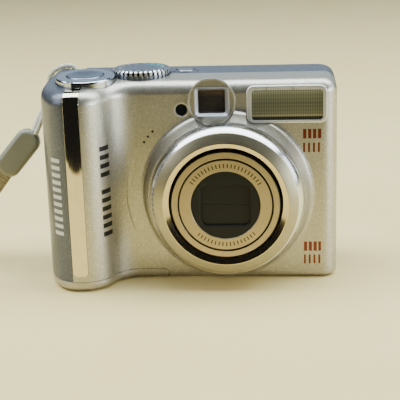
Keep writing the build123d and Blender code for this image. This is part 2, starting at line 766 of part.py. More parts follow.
def barrier_blade(side):
    """One leaf of the lens barrier; side is 1 above the axis and -1 below."""
    far = WINDOW_H / 2 + 0.35
    leaf = slab_y(LENS_X, LENS_Z, WINDOW_W + 0.6, 2 * far, 2.5, -20.2, -19.9)
    z0, z1 = sorted((LENS_Z + side * 0.03, LENS_Z + side * (far + 1)))
    return leaf & block(LENS_X - 9, LENS_X + 9, -21, -19, z0, z1)


def blade_upper():
    return barrier_blade(1)


def blade_lower():
    return barrier_blade(-1)


def lens_disc(radius, y0, y1, bulge):
    """Round lens on the lens axis with a domed front face."""
    lines = [
        ThreePointArc((0, y0), (radius * 0.5, y0 + bulge * 0.25), (radius, y0 + bulge)),
        Line((radius, y0 + bulge), (radius, y1)),
        Line((radius, y1), (0, y1)),
        Line((0, y1), (0, y0)),
    ]
    return Pos(LENS_X, 0, LENS_Z) * revolve(make_face(Curve() + lines), Axis.Y)


def front_lens():
    return lens_disc(7.55, -19.2, -16.2, 1.6)


def second_group():
    """Second lens group with the shutter's frame."""
    frame = tube_y(LENS_X, LENS_Z, 12.6, 6.05, -11.0, -8.0)
    frame -= tube_y(LENS_X, LENS_Z, 14.0, 10.4, -12.0, -9.0)
    lens = lens_disc(6.0, -11.4, -8.3, 1.2)
    return Compound(children=[frame, lens])


def focus_group():
    """Focusing lens in its cell, with the arm that its lead screw drives."""
    ring = tube_y(LENS_X, LENS_Z, 7.0, 5.05, -2.2, 0.2)
    arm = block(FOCUS_X - 1.5, LENS_X - 6.2, -1.8, -0.4, FOCUS_Z - 1.2, FOCUS_Z + 1.2)
    cell_ring = ring + arm - rod_y(FOCUS_X, FOCUS_Z, 0.55, -5, 5)
    lens = lens_disc(5.0, -2.3, 0.0, 0.9)
    return Compound(children=[cell_ring, lens])


def image_sensor():
    """Sensor package on its small board."""
    package = block(LENS_X - 6.0, LENS_X + 6.0, 2.8, 4.7, LENS_Z - 5.0, LENS_Z + 5.0)
    return package + slab_y(LENS_X, LENS_Z, 22.0, 20.0, 1.0, BASE_BACK + 0.05, 5.4)


# ================================================================ viewfinder
def finder_bezel_blank(gap):
    """Round boss of the viewfinder window, tapering back into the top rim."""
    r = FINDER_POCKET_R + gap
    outline = [(0, -9.4 - gap), (r, -9.4 - gap), (r, -8.0), (r - 1.0, -5.6), (0, -5.6)]
    return turned_y(outline, FINDER_X, FINDER_Z)


def viewfinder_bezel():
    bezel = finder_bezel_blank(0)
    bezel -= rod_y(FINDER_X, FINDER_Z, FINDER_POCKET_R - 0.45, -12, -9.0)
    window = slab_y(FINDER_X, FINDER_Z, 10.8, 9.2, 1.2, -9.35, -7.0)
    bezel += window
    sides = Pos(FINDER_X, FINDER_Z) * RectangleRounded(10.0, 8.8, 0.9)
    throat = Pos(FINDER_X, FINDER_Z) * RectangleRounded(8.3, 7.2, 0.5)
    mouth = Plane(origin=(0, -9.4, 0), x_dir=(1, 0, 0), z_dir=(0, -1, 0)) * sides
    inner = Plane(origin=(0, -8.4, 0), x_dir=(1, 0, 0), z_dir=(0, -1, 0)) * throat
    bezel -= loft([mouth.face(), inner.face()])
    bezel -= slab_y(FINDER_X, FINDER_Z, 8.3, 7.2, 0.5, -12, 0)
    return bezel - rod_y(LENS_X, LENS_Z, 22.2, -12, 0)


def viewfinder_windows():
    """Front window and eyepiece, both clear."""
    front = slab_y(FINDER_X, FINDER_Z, 8.2, 7.1, 0.5, -8.3, -7.4)
    eyepiece = slab_y(FINDER_X, FINDER_Z, 9.1, 6.3, 1.4, 18.6, 20.6)
    return Compound(children=[front, eyepiece])


def viewfinder_body():
    """Tunnel of the optical viewfinder."""
    tunnel = block(FINDER_X - 5.2, FINDER_X + 5.2, -5.5, 17.3, FINDER_Z - 4.6, FINDER_Z + 4.2)
    return tunnel - block(FINDER_X - 4.4, FINDER_X + 4.4, -9, 20, FINDER_Z - 3.7, FINDER_Z + 3.5)


def viewfinder_mover():
    """Lens that slides in the viewfinder as the zoom turns."""
    plate = block(FINDER_X - 4.2, FINDER_X + 4.2, 7.0, 9.0, FINDER_Z - 3.5, FINDER_Z + 3.3)
    return plate


# ================================================================ flash and lamps
def flash_bezel_blank(gap):
    width, height = FLASH_W + 2 * gap, FLASH_H + 2 * gap
    return slab_y(FLASH_X, FLASH_Z, width, height, FLASH_CORNER + gap, -9.2 - gap, -6.0)


def flash_bezel():
    bezel = flash_bezel_blank(0)
    front = bezel.edges().filter_by(lambda e: e.center().Y < -9.19)
    bezel = fillet(front, 0.45)
    bezel -= slab_y(FLASH_X + 0.1, FLASH_Z - 0.2, 21.7, 9.4, 1.0, -12, 0)
    return bezel


def flash_window():
    """Ribbed lens over the flash tube."""
    window = slab_y(FLASH_X + 0.1, FLASH_Z - 0.2, 21.6, 9.3, 0.9, -8.7, -7.3)
    for i in range(29):
        x = FLASH_X + 0.1 + (i - 14) * 0.7
        window -= block(x - 0.12, x + 0.12, -9, -8.45, FLASH_Z - 4.3, FLASH_Z + 3.9)
    return window


def flash_unit():
    """Reflector trough with the flash tube in it."""
    x0, x1 = FLASH_X - 10.5, FLASH_X + 10.7
    outline = Polyline((-7.2, 51.4), (-7.2, 60.2), (-1.4, 57.4), (-1.4, 54.0), close=True)
    inside = Polyline((-7.3, 52.0), (-7.3, 59.6), (-1.9, 57.0), (-1.9, 54.4), close=True)
    trough = extrude(Plane.YZ.offset(x0) * make_face(outline), amount=x1 - x0)
    trough -= extrude(Plane.YZ.offset(x0 + 0.5) * make_face(inside), amount=x1 - x0 - 1)
    tube = rod_x(-3.4, 55.7, 1.1, x0 + 0.5, x1 - 0.5)
    return Compound(children=[trough, tube])


def flash_capacitor():
    can = rod_z(39.6, -1.0, 3.8, 8.0, 40.0)
    return fillet(can.edges().filter_by(GeomType.CIRCLE), 0.5)


def af_lamp():
    return rod_y(LAMP_X, LAMP_Z, 1.72, PANEL_Y + 0.1, -5.0)


def speaker():
    return rod_y(SPEAKER_X, SPEAKER_Z, 4.6, 15.2, 18.1)


# ================================================================ frame and boards
def chassis():
    """Pressed plate between the lens unit and the main board."""
    plate = block(-18.6, 40.8, 6.7, 7.4, 9.0, 60.5) - block(37.2, 45, 6, 8, 12.0, 37.0)
    plate -= block(FINDER_X - 5.6, FINDER_X + 5.6, 0, 9, 52.0, 63)
    foot = block(-4.0, 40.0, 6.7, 7.4, 5.3, 9.0)
    plate += foot - rod_z(TRIPOD_X, TRIPOD_Y, 6.0, 0, 12)
    for x in (1.0, 36.0):
        plate += block(x - 2.5, x + 2.5, 4.9, 7.4, 3.8, 5.4)
        plate -= rod_z(x, 6.0, 0.72, 3.0, 5.6)
    return plate


def main_board():
    board = block(-18.6, 37.0, 8.4, 9.4, 8.6, 50.5)
    chips = [(0.0, 36.0, 12.0), (20.0, 34.0, 10.0), (4.0, 18.0, 9.0), (26.0, 18.0, 8.0)]
    for x, z, size in chips:
        board += slab_y(x, z, size, size, 0.3, 9.3, 10.6)
    return board


def key_board():
    """Switch board with snap domes and the two indicator lamps."""
    board = block(-43.0, -25.6, 14.9, 15.7, 10.0, 57.5) + block(-25.7, -14.6, 14.9, 15.7, 39.0, 57.5)
    board += block(-14.7, 0.5, 14.9, 15.7, 51.5, 57.5)
    board -= block(-43.2, -32.6, 14, 16, 55.5, 58)
    places = [(x, z) for x, z, _ in BUTTONS.values()]
    places += [(PAD_X + i, PAD_Z + j) for i, j in ((6.2, 0), (-6.2, 0), (0, 6.2), (0, -6.2), (0, 0))]
    for x, z in places:
        board += rod_y(x, z, 1.4, 15.6, 16.0)
    for z in LED_Z:
        board += rod_y(LED_X, z, 0.7, 15.6, 20.1)
    return board


# ================================================================ top controls
def zoom_ring():
    ring = disc(RING_R, -0.4, RING_H)
    ring = fillet(ring.edges().filter_by(GeomType.CIRCLE).group_by(Axis.Z)[-1], 0.7)
    ring += disc(6.5, -2.8, -0.3)
    tab = Rot(0, 0, -22.5) * Pos(0, -RING_R - 0.1, 1.1) * Box(2.3, 1.6, 1.4)
    ring += tab
    ring -= disc(SHUTTER_R + 0.25, -5, 5)
    return top_frame() * ring


def shutter_button():
    button = disc(SHUTTER_R, -2.4, 2.2)
    rim = button.edges().filter_by(GeomType.CIRCLE).group_by(Axis.Z)[-1]
    button = fillet(rim, 0.5)
    button -= Pos(0, 0, 15.55) * Sphere(14.0)
    return top_frame() * button


def mode_dial():
    dial = rod_z(DIAL_X, DIAL_Y, DIAL_R, 63.25, DIAL_TOP - 0.35)
    for i in range(DIAL_SCALLOPS):
        angle = radians(360 / DIAL_SCALLOPS * i)
        x, y = DIAL_X + DIAL_R * cos(angle), DIAL_Y + DIAL_R * sin(angle)
        dial -= rod_z(x, y, 0.42, 62, 65.1)
    top = rod_z(DIAL_X, DIAL_Y, DIAL_R - 0.2, 65.0, DIAL_TOP)
    dial += chamfer(top.edges().filter_by(GeomType.CIRCLE).group_by(Axis.Z)[-1], 0.5)
    return dial + rod_z(DIAL_X, DIAL_Y, 2.0, 59.8, 63.5)


def power_button():
    cap = rod_z(POWER_X, POWER_Y, POWER_R, 61.9, 64.35)
    cap = fillet(cap.edges().filter_by(GeomType.CIRCLE).group_by(Axis.Z)[-1], 0.3)
    return cap + rod_z(POWER_X, POWER_Y, POWER_R + 0.6, 61.0, 61.95)


# ================================================================ back of the case
def lcd_window():
    return slab_y(LCD_X, LCD_Z, LCD_W - 3.1, LCD_H - 3.1, 1.9, 18.92, 20.35)


def lcd_module():
    """Display panel on its backlight."""
    panel = slab_y(LCD_X, LCD_Z, LCD_W - 6.4, LCD_H - 6.4, 0.8, 16.8, 18.7)
    return panel + slab_y(LCD_X, LCD_Z, LCD_W - 4.0, LCD_H - 4.4, 1.0, 12.9, 16.9)


def rear_button(name):
    x, z, radius = BUTTONS[name]
    cap = rod_y(x, z, radius, 17.8, 20.75)
    cap = fillet(cap.edges().filter_by(GeomType.CIRCLE).group_by(Axis.Y)[-1], 0.3)
    return cap + rod_y(x, z, radius + 0.6, 17.0, 17.85)


def rocker_pad():
    pad = rod_y(PAD_X, PAD_Z, PAD_R, 17.4, 21.0)
    pad = fillet(pad.edges().filter_by(GeomType.CIRCLE).group_by(Axis.Y)[-1], 0.5)
    pad += rod_y(PAD_X, PAD_Z, PAD_R + 1.0, 16.95, 17.5)
    pad -= rod_y(PAD_X, PAD_Z, SET_R + 0.4, 10, 30)
    for angle in (0, 90, 180, 270):
        mark = Pos(PAD_X + 5.8 * cos(radians(angle)), PAD_Z + 5.8 * sin(radians(angle)))
        pad -= along_y(mark * Rot(0, 0, angle) * Triangle(a=1.5, b=1.5, c=1.5), 20.85, 22)
    return pad


def rocker_gimbal():
    return tube_y(PAD_X, PAD_Z, 5.4, SET_R + 0.6, 16.25, 16.55)


def set_button():
    cap = rod_y(PAD_X, PAD_Z, SET_R, 16.6, 21.2)
    return fillet(cap.edges().filter_by(GeomType.CIRCLE).group_by(Axis.Y)[-1], 0.4)


def mode_switch():
    """Shooting and playback slider; it rests at the shooting end."""
    knob = slab_y(SWITCH_X - 2.0, SWITCH_Z, 5.0, 2.3, 0.9, 17.6, 21.1)
    return knob + block(SWITCH_X - 5.4, SWITCH_X + 1.4, 17.0, 17.7, SWITCH_Z - 1.8, SWITCH_Z + 1.8)


def flap_knuckle(gap):
    return rod_z(44.95, FLAP_Y[1], 0.65 + gap, FLAP_Z[0] - gap, FLAP_Z[1] + gap)


def terminal_flap():
    flap = block(HALF - FLAP_T, HALF, FLAP_Y[0], FLAP_Y[1], FLAP_Z[0], FLAP_Z[1]) + flap_knuckle(0)
    lip = block(45.1, 46, FLAP_Y[0] - 1, FLAP_Y[0] + 0.8, 22.5, 26.5)
    return flap - lip


def terminal_ports():
    """Two flat sockets and the power jack."""
    sockets = []
    for y0, y1, z0, z1 in PORTS.values():
        shell = block(37.6, 44.0, y0, y1, z0, z1)
        sockets.append(shell - block(39.0, 45, y0 + 0.5, y1 - 0.5, z0 + 0.5, z1 - 0.5))
    return Compound(children=sockets + [dc_jack()])


def dc_jack():
    jack = rod_x(DC_Y, DC_Z, DC_R, 38.0, 44.0) - rod_x(DC_Y, DC_Z, DC_R - 0.6, 39.0, 45)
    return jack + rod_x(DC_Y, DC_Z, 0.6, 38.5, 43.0)


# ================================================================ wrist strap
def corner_radii(points):
    """Radius of each corner of a route: as large as its two runs allow."""
    radii = []
    for before, here, after in zip(points, points[1:], points[2:]):
        first = Vector(*here) - Vector(*before)
        second = Vector(*after) - Vector(*here)
        half_turn = radians(first.get_angle(second)) / 2
        radii.append(0.45 * min(first.length, second.length) / tan(half_turn))
    return radii


def free_tube(name, points, radius):
    """Round solid of a cord along its route."""
    radii = corner_radii(points)
    path = FilletPolyline(*points, radius=radii)
    start = Plane(origin=path @ 0, z_dir=path % 0)
    tube = sweep(start * Circle(radius), path=path)
    ratio = tube.volume / (pi * radius ** 2 * path.length)
    print(name, "length", round(path.length, 1), "volume ratio", round(ratio, 4))
    print(name, "radii", [round(r, 1) for r in radii])
    return tube


def strap_connector():
    """Moulded pill that joins the thin cord to the woven band."""
    top, end = Vector(*STRAP_JOINT_TOP), Vector(*STRAP_JOINT_END)
    along = end - top
    frame = Plane(origin=(top + end) / 2, x_dir=along, z_dir=Vector(0.1, -1, 0.12))
    outline = RectangleRounded(along.length + 0.2, STRAP_JOINT_WIDTH, 3.7)
    pill = extrude(frame * outline, amount=2.9, both=True)
    rim = pill.edges().filter_by(lambda e: abs((e.center() - frame.origin).dot(frame.z_dir)) > 2.8)
    return fillet(rim, 1.6)


# ================================================================ output
PARTS = [
    front_shell, rear_shell, grip_side_panel, grip_strip, lens_ring,
    viewfinder_bezel, viewfinder_windows, viewfinder_body, viewfinder_mover,
    flash_bezel, flash_window, flash_unit, flash_capacitor, af_lamp,
    case_screws, tripod_bush, battery_door, battery_door_pin, door_latch, door_contacts,
    battery_box, battery_cells, memory_card, terminal_flap, terminal_ports,
    lcd_window, lcd_module, chassis, main_board, key_board, speaker,
    zoom_ring, shutter_button, mode_dial, power_button,
    rocker_pad, rocker_gimbal, set_button, mode_switch,
    lens_housing, cam_ring, zoom_idler, motor_pinion, zoom_motor,
    barrel_1, barrel_2, barrier_mask, blade_upper, blade_lower,
    front_lens, second_group, focus_group, image_sensor, strap_connector,
]


def write(name, shape):
    export_step(shape, os.path.join("parts", name + ".step"))


def main():
    os.makedirs("parts", exist_ok=True)
    for make in PARTS:
        write(make.__name__, make())
    for name in BUTTONS:
        write(name, rear_button(name))
    write("strap_cord", free_tube("strap_cord", CORD_ROUTE, CORD_R))
    write("strap_band", free_tube("strap_band", BAND_ROUTE, BAND_R))


main()
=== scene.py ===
"""The looks of a compact digital camera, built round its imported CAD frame. Metres, +Z up, lens towards -Y."""
import json
import math

import bpy
from mathutils import Matrix, Vector


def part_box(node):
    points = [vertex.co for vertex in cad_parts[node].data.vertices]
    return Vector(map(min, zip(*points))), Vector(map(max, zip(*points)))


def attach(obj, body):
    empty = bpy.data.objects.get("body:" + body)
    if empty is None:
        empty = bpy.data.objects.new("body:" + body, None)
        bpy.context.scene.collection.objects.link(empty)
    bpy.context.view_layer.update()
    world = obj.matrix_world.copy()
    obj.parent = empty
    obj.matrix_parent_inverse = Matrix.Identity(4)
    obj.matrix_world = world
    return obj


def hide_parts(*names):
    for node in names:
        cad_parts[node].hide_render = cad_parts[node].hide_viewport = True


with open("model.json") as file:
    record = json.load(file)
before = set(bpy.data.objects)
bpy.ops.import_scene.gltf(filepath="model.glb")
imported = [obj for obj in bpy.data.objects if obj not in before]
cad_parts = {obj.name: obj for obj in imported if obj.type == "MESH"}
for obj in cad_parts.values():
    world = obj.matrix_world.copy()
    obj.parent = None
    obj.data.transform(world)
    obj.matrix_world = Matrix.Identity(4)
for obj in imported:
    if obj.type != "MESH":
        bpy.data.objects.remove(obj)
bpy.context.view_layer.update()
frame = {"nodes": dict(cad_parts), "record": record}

MM = 0.001
NODES = frame["nodes"]
SCENE = bpy.context.scene


# ================================================================ camera
AZIMUTH = 4.257           # degrees round the object from straight in front
ELEVATION = 16.45         # degrees above the floor
ROLL = -1.703             # degrees
FOCAL_MM = 98.4
SENSOR_MM = 36.0
DISTANCE = 0.3508         # metres from the target
TARGET = Vector((0.002282, 0.0, 0.023367))
CLIP_START, CLIP_END = 0.01, 20.0


def make_camera():
    azimuth, elevation, roll = (math.radians(v) for v in (AZIMUTH, ELEVATION, ROLL))
    level = math.cos(elevation)
    back = Vector((math.sin(azimuth) * level, -math.cos(azimuth) * level, math.sin(elevation)))
    side = Vector((math.cos(azimuth), math.sin(azimuth), 0.0))
    up = back.cross(side)
    right = side * math.cos(roll) + up * math.sin(roll)
    above = up * math.cos(roll) - side * math.sin(roll)
    data = bpy.data.cameras.new("camera")
    data.lens = FOCAL_MM
    data.sensor_width = SENSOR_MM
    data.clip_start, data.clip_end = CLIP_START, CLIP_END
    camera = bpy.data.objects.new("camera", data)
    SCENE.collection.objects.link(camera)
    turn = Matrix((right, above, back)).transposed().to_4x4()
    camera.matrix_world = Matrix.Translation(TARGET + back * DISTANCE) @ turn
    SCENE.camera = camera


# ================================================================ node helpers
BEVEL_SAMPLES = 4


def scaled(colour, factor):
    """A brighter or darker version of a colour."""
    return tuple(min(1.0, c * factor) for c in colour)


class Look:
    """A material and short calls that add nodes to it. Places and sizes are in millimetres."""

    def __init__(self, name, edge=0.12, **values):
        """edge is the radius that edges are shaded with, and values are shader inputs with _ for a space."""
        self.material = bpy.data.materials.new(name)
        self.material.use_nodes = True
        self.tree = self.material.node_tree
        self.shader = self.tree.nodes["Principled BSDF"]
        self.axes = None
        for socket, value in values.items():
            self.shader.inputs[socket.replace("_", " ")].default_value = value
        self.bevel = self.node("Bevel", samples=BEVEL_SAMPLES)
        self.bevel.inputs["Radius"].default_value = edge * MM
        self.link(self.bevel.outputs["Normal"], self.shader.inputs["Normal"])

    def node(self, kind, **settings):
        made = self.tree.nodes.new("ShaderNode" + kind)
        for key, value in settings.items():
            setattr(made, key, value)
        return made

    def link(self, source, target):
        self.tree.links.new(source, target)

    def value(self, socket, value):
        """Set a socket from a number, a colour or another node's output."""
        if isinstance(value, bpy.types.NodeSocket):
            self.link(value, socket)
        else:
            socket.default_value = value

    def place(self, scale=(1, 1, 1), turn=(0, 0, 0)):
        """Object coordinates in millimetres, scaled, and turned in degrees."""
        coords = self.node("TexCoord")
        mapping = self.node("Mapping")
        mapping.inputs["Scale"].default_value = [s / MM for s in scale]
        mapping.inputs["Rotation"].default_value = [math.radians(t) for t in turn]
        self.link(coords.outputs["Object"], mapping.inputs["Vector"])
        return mapping.outputs["Vector"]

    def xyz(self):
        """The three object coordinates in millimetres."""
        if self.axes is None:
            parts = self.node("SeparateXYZ")
            self.link(self.place(), parts.inputs["Vector"])
            self.axes = [parts.outputs[i] for i in range(3)]
        return self.axes

    def noise(self, scale, detail=3.0, rough=0.5, where=None):
        """Noise with about scale features to the millimetre."""
        made = self.node("TexNoise")
        made.inputs["Scale"].default_value = scale
        made.inputs["Detail"].default_value = detail
        made.inputs["Roughness"].default_value = rough
        self.link(where or self.place(), made.inputs["Vector"])
        return made.outputs["Fac"]

    def cells(self, scale):
        """A random grey for each small cell, for metal flakes."""
        made = self.node("TexVoronoi")
        made.inputs["Scale"].default_value = scale
        self.link(self.place(), made.inputs["Vector"])
        grey = self.node("SeparateColor")
        self.link(made.outputs["Color"], grey.inputs["Color"])
        return grey.outputs[0]

    def ramp(self, source, *stops):
        """Colour ramp with (position, colour) stops."""
        made = self.node("ValToRGB")
        elements = made.color_ramp.elements
        while len(elements) < len(stops):
            elements.new(0.5)
        for element, (position, colour) in zip(elements, stops):
            element.position = position
            element.color = (*colour, 1.0)
        self.link(source, made.inputs["Fac"])
        return made.outputs["Color"]

    def span(self, source, low, high, start=0.0, end=1.0):
        """Map a value from start..end to low..high."""
        made = self.node("MapRange")
        for name, number in (("From Min", start), ("From Max", end), ("To Min", low), ("To Max", high)):
            made.inputs[name].default_value = number
        self.link(source, made.inputs["Value"])
        return made.outputs["Result"]

    def maths(self, operation, first, second=0.0):
        made = self.node("Math", operation=operation)
        self.value(made.inputs[0], first)
        self.value(made.inputs[1], second)
        return made.outputs["Value"]

    def mixed(self, factor, first, second):
        """The first colour where the factor is 0, the second where it is 1."""
        made = self.node("Mix", data_type="RGBA")
        self.value(made.inputs["Factor"], factor)
        first_colour, second_colour = made.inputs[6:8]
        for socket, value in ((first_colour, first), (second_colour, second)):
            self.value(socket, (*value, 1.0) if isinstance(value, tuple) else value)
        mixed_colour = made.outputs[2]
        return mixed_colour

    def over(self, tone, mask, colour, share=1.0):
        """The tone with a share of a colour laid over it where the mask is 1."""
        if share < 1.0:
            mask = self.maths("MULTIPLY", mask, share)
        return self.mixed(mask, tone, colour)

    def mottled(self, tone, other, most, source, start, end):
        """The tone with up to a share of another colour, as the source goes from start to end."""
        return self.mixed(self.span(source, 0.0, most, start, end), tone, other)

    def between(self, source, low, high, soft=0.08):
        """1 where the value is from low to high, with soft ends."""
        rise = self.span(source, 0.0, 1.0, low - soft, low + soft)
        fall = self.span(source, 1.0, 0.0, high - soft, high + soft)
        return self.maths("MULTIPLY", rise, fall)

    def joined(self, operation, masks):
        total = masks[0]
        for mask in masks[1:]:
            total = self.maths(operation, total, mask)
        return total

    def both(self, *masks):
        """1 where every mask is 1."""
        return self.joined("MULTIPLY", masks)

    def either(self, *masks):
        """1 where any mask is 1."""
        return self.joined("MAXIMUM", masks)

    def polar(self, u, v, centre):
        """Radius in millimetres and angle in radians round a centre, from two coordinates."""
        du = self.maths("SUBTRACT", u, centre[0])
        dv = self.maths("SUBTRACT", v, centre[1])
        square = self.maths("ADD", self.maths("MULTIPLY", du, du), self.maths("MULTIPLY", dv, dv))
        return self.maths("SQRT", square), self.maths("ARCTAN2", dv, du)

    def beats(self, source, pitch, share=0.5, start=0.0):
        """1 over a share of each pitch of the value."""
        turns = self.maths("DIVIDE", self.maths("SUBTRACT", source, start), pitch)
        saw = self.maths("FRACT", turns)
        soft = 0.03
        return self.between(saw, soft, share, soft)

    def worn(self):
        """1 on sharp outside and inside edges, where finish wears or dust gathers."""
        geometry = self.node("NewGeometry")
        dot = self.node("VectorMath", operation="DOT_PRODUCT")
        self.link(self.bevel.outputs["Normal"], dot.inputs[0])
        self.link(geometry.outputs["Normal"], dot.inputs[1])
        on_edge, on_flat = 0.90, 0.995       # agreement of the rounded and the plain normal
        return self.span(dot.outputs["Value"], 1.0, 0.0, on_edge, on_flat)

    def bump(self, height, strength, distance=0.05):
        """Bump from a height, with distance in millimetres."""
        made = self.node("Bump")
        made.inputs["Strength"].default_value = strength
        made.inputs["Distance"].default_value = distance * MM
        self.link(height, made.inputs["Height"])
        self.link(self.shader.inputs["Normal"].links[0].from_socket, made.inputs["Normal"])
        self.link(made.outputs["Normal"], self.shader.inputs["Normal"])

    def colour(self, source):
        self.link(source, self.shader.inputs["Base Color"])

    def rough(self, source):
        self.link(source, self.shader.inputs["Roughness"])

    def metallic(self, source):
        self.link(source, self.shader.inputs["Metallic"])


# ================================================================ kinds of surface
RINGS_PER_MM = 9.0        # fine lathe lines on a turned face
RING_BREAKS = 2.0         # how often a lathe line changes round the face


def paint_look(name, base, flake=0.3, metallic=0.85, rough=0.36, coat=0.25):
    """Metallic paint: bright flakes, a faint mottle, light wear on the edges. Returns look, tone, roughness."""
    look = Look(name, edge=0.18, Metallic=metallic, Coat_Weight=coat, Coat_Roughness=0.14)
    flakes = look.cells(4.2)
    dull, bright = scaled(base, 1 - flake), scaled(base, 1 + 2.2 * flake)
    tone = look.ramp(flakes, (0.0, dull), (0.75, base), (0.97, bright))
    mottle = look.noise(0.12, rough=0.55)
    tone = look.mottled(tone, scaled(base, 0.84), 0.25, mottle, 0.35, 0.7)
    tone = look.over(tone, look.worn(), scaled(base, 1.5), share=0.35)
    scuffs = look.noise(0.6, detail=4.0, rough=0.7, where=look.place((1, 1, 0.25), (0, 25, 0)))
    roughness = look.span(scuffs, rough - 0.05, rough + 0.08, 0.3, 0.75)
    look.bump(flakes, strength=0.05, distance=0.03)
    return look, tone, roughness


def paint(*args, **options):
    """Plain metallic paint with no marks."""
    look, tone, roughness = paint_look(*args, **options)
    look.colour(tone)
    look.rough(roughness)
    return look.material


def metal(name, base, rough, scratch=0.05, turned=None, edge=0.12):
    """Plated or polished metal with hairlines; turned is the centre of lathe rings about an axis along Y."""
    look = Look(name, edge, Metallic=1.0)
    smear = look.noise(0.35, detail=4.0, rough=0.6)
    look.colour(look.mottled(base, scaled(base, 0.84), 0.6, smear, 0.35, 0.75))
    if turned:
        x, _, z = look.xyz()
        radius, angle = look.polar(x, z, turned)
        fine = look.node("TexNoise", noise_dimensions="2D")
        fine.inputs["Scale"].default_value = 1.0
        fine.inputs["Detail"].default_value = 3.0
        spot = look.node("CombineXYZ")
        look.link(look.maths("MULTIPLY", radius, RINGS_PER_MM), spot.inputs[0])
        look.link(look.maths("MULTIPLY", angle, RING_BREAKS), spot.inputs[1])
        look.link(spot.outputs["Vector"], fine.inputs["Vector"])
        look.bump(fine.outputs["Fac"], strength=0.12, distance=0.02)
        look.rough(look.span(fine.outputs["Fac"], rough - scratch, rough + scratch, 0.3, 0.7))
    else:
        hairlines = look.noise(2.5, rough=0.6, where=look.place((1, 1, 0.06), (0, 12, 0)))
        look.rough(look.span(hairlines, rough, rough + scratch, 0.4, 0.8))
    return look.material


def plastic(name, base, rough=0.5, grain=0.25, size=3.0, coat=0.0, edge=0.15, specular=0.5):
    """Moulded plastic with a fine spark-eroded grain and slightly lighter edges."""
    look = Look(name, edge, Coat_Weight=coat, Coat_Roughness=0.12, Specular_IOR_Level=specular)
    fine = look.noise(size, rough=0.6)
    wide = look.noise(0.2, detail=2.0)
    tone = look.mottled(base, scaled(base, 0.8), 0.5, wide, 0.3, 0.7)
    look.colour(look.over(tone, look.worn(), scaled(base, 1.7), share=0.3))
    look.rough(look.span(fine, rough - 0.07, rough + 0.07, 0.3, 0.7))
    look.bump(fine, strength=grain)
    return look.material


def glass(name, base, rough=0.03, coat=1.0, through=0.0):
    """Polished window: a dark body colour under a clear coat, with faint smears."""
    look = Look(name, edge=0.1, Coat_Weight=coat, Coat_Roughness=0.02, IOR=1.5, Transmission_Weight=through)
    smear = look.noise(0.3, detail=4.0, rough=0.6)
    look.colour(look.mottled(base, scaled(base, 0.7), 0.6, smear, 0.4, 0.7))
    look.rough(look.span(smear, rough, rough + 0.05, 0.4, 0.8))
    return look.material


# ================================================================ materials with printed or shaped zones
LENS = (11.5, 27.9)              # lens axis, X and Z
FINDER = (7.3, 57.1)             # middle of the viewfinder disc, X and Z
FLASH = (30.3, 55.8)             # middle of the flash window, X and Z
LAMP = (-2.0, 54.6)              # assist lamp, X and Z
DIAL = (-15.2, 3.6)              # dial axis, X and Y
CHAMPAGNE = (0.46, 0.435, 0.365)
BARREL_GOLD = (0.42, 0.34, 0.21)
PRINT_BLACK = (0.02, 0.02, 0.02)
PRINT_RED = (0.16, 0.03, 0.02)


def front_paint():
    """Champagne paint with plain printed marks, a dark column and four rows of red bars, and a painted highlight on
    the lamp's rim.
    """
    look, tone, roughness = paint_look("champagne_paint", CHAMPAGNE, flake=0.16)
    x, y, z = look.xyz()
    front = look.span(y, 1.0, 0.0, -6.0, -5.0)
    column_x, column_z, gap_z, pitch = (-26.4, -24.2), (17.0, 46.6), (33.1, 35.0), 2.7
    dashes = look.both(look.between(x, *column_x), look.between(z, *column_z),
                       look.beats(z, pitch, 0.58, column_z[0]))
    gap = look.between(z, *gap_z)
    dashes = look.both(dashes, look.maths("SUBTRACT", 1.0, gap))
    tone = look.over(tone, look.both(front, dashes), PRINT_BLACK)
    # painted highlight: a light ring round the assist lamp stands in for light caught on the rim of its recess
    radius, _ = look.polar(x, z, LAMP)
    painted_lamp_rim_highlight = look.between(radius, 1.95, 2.35, soft=0.06)
    tone = look.over(tone, look.both(front, painted_lamp_rim_highlight), (0.72, 0.72, 0.68))
    upper_x, lower_x, pitch, bold, thin = (35.0, 41.0), (35.2, 40.6), 1.5, 0.72, 0.45
    rows = [(upper_x, (45.2, 48.2), bold), (upper_x, (40.9, 43.9), thin),
            (lower_x, (8.9, 12.0), bold), (lower_x, (4.7, 7.7), thin)]
    bars = [look.both(look.between(x, *row_x), look.between(z, *row_z), look.beats(x, pitch, share, row_x[0]))
            for row_x, row_z, share in rows]
    look.colour(look.over(tone, look.both(front, look.either(*bars)), PRINT_RED))
    look.rough(roughness)
    return look.material


def grip_paint():
    """Grey metallic paint with a plain white column printed on the rounded corner."""
    look, tone, roughness = paint_look("grip_grey_paint", (0.108, 0.117, 0.142), flake=0.22, metallic=0.5,
                                      coat=0.15)
    x, y, z = look.xyz()
    column_x, column_z, pitch = (-41.4, -38.4), (18.2, 43.4), 2.3
    marks = look.both(look.between(x, *column_x), look.between(z, *column_z),
                      look.beats(z, pitch, 0.55, column_z[0]), look.span(y, 1.0, 0.0, -12.0, -11.0))
    look.colour(look.over(tone, marks, (0.62, 0.62, 0.60)))
    look.metallic(look.span(marks, 0.6, 0.1))
    look.rough(roughness)
    return look.material


